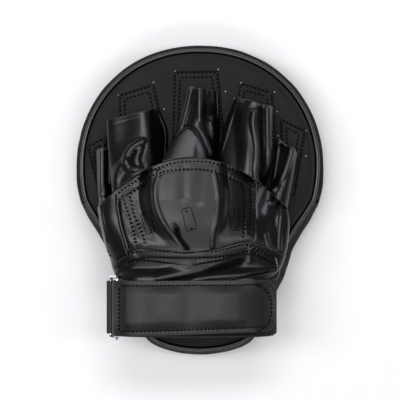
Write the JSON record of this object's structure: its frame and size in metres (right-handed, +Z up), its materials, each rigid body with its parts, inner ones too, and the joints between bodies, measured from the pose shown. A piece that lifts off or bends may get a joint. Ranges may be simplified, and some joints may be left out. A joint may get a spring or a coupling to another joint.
{
  "type": "focus mitt",
  "caption": "Padded leather focus mitt: tapered round striking pad with an open-fingered glove and an adjustable wrist strap on its back.",
  "frame": {"origin": "on the flat strike face, below the middle of the mitt's outline", "axes": "+Z up out of the glove side, away from the strike face; +Y towards the fingertips; +X to the right seen from the glove side"},
  "size_m": [0.2, 0.25, 0.0935],
  "materials": {
    "pad_leather": "smooth black synthetic leather with a fine grain",
    "glove_leather": "soft glossy black synthetic leather",
    "strap_leather": "satin black synthetic leather with a fine grain",
    "loop_fabric": "black hook-and-loop fabric",
    "ring_metal": "polished wire",
    "foam": "closed-cell foam"
  },
  "bodies": {
    "root": {"foam_core": "foam", "strike_panel": "pad_leather", "side_band_upper": "pad_leather", "side_band_lower": "pad_leather", "back_panel": "pad_leather", "back_welt": "pad_leather", "patch_thumb": "pad_leather", "patch_index": "pad_leather", "patch_middle": "pad_leather", "patch_ring": "pad_leather", "patch_little": "pad_leather", "stall_thumb": "glove_leather", "stall_index": "glove_leather", "stall_middle": "glove_leather", "stall_ring": "glove_leather", "stall_little": "glove_leather", "hand_back": "glove_leather", "gusset_left": "glove_leather", "gusset_right": "glove_leather", "wrist_cuff": "glove_leather", "strap_under": "loop_fabric", "strap_over": "strap_leather", "strap_ring": "ring_metal", "ring_tab": "strap_leather"}
  },
  "joints": []
}
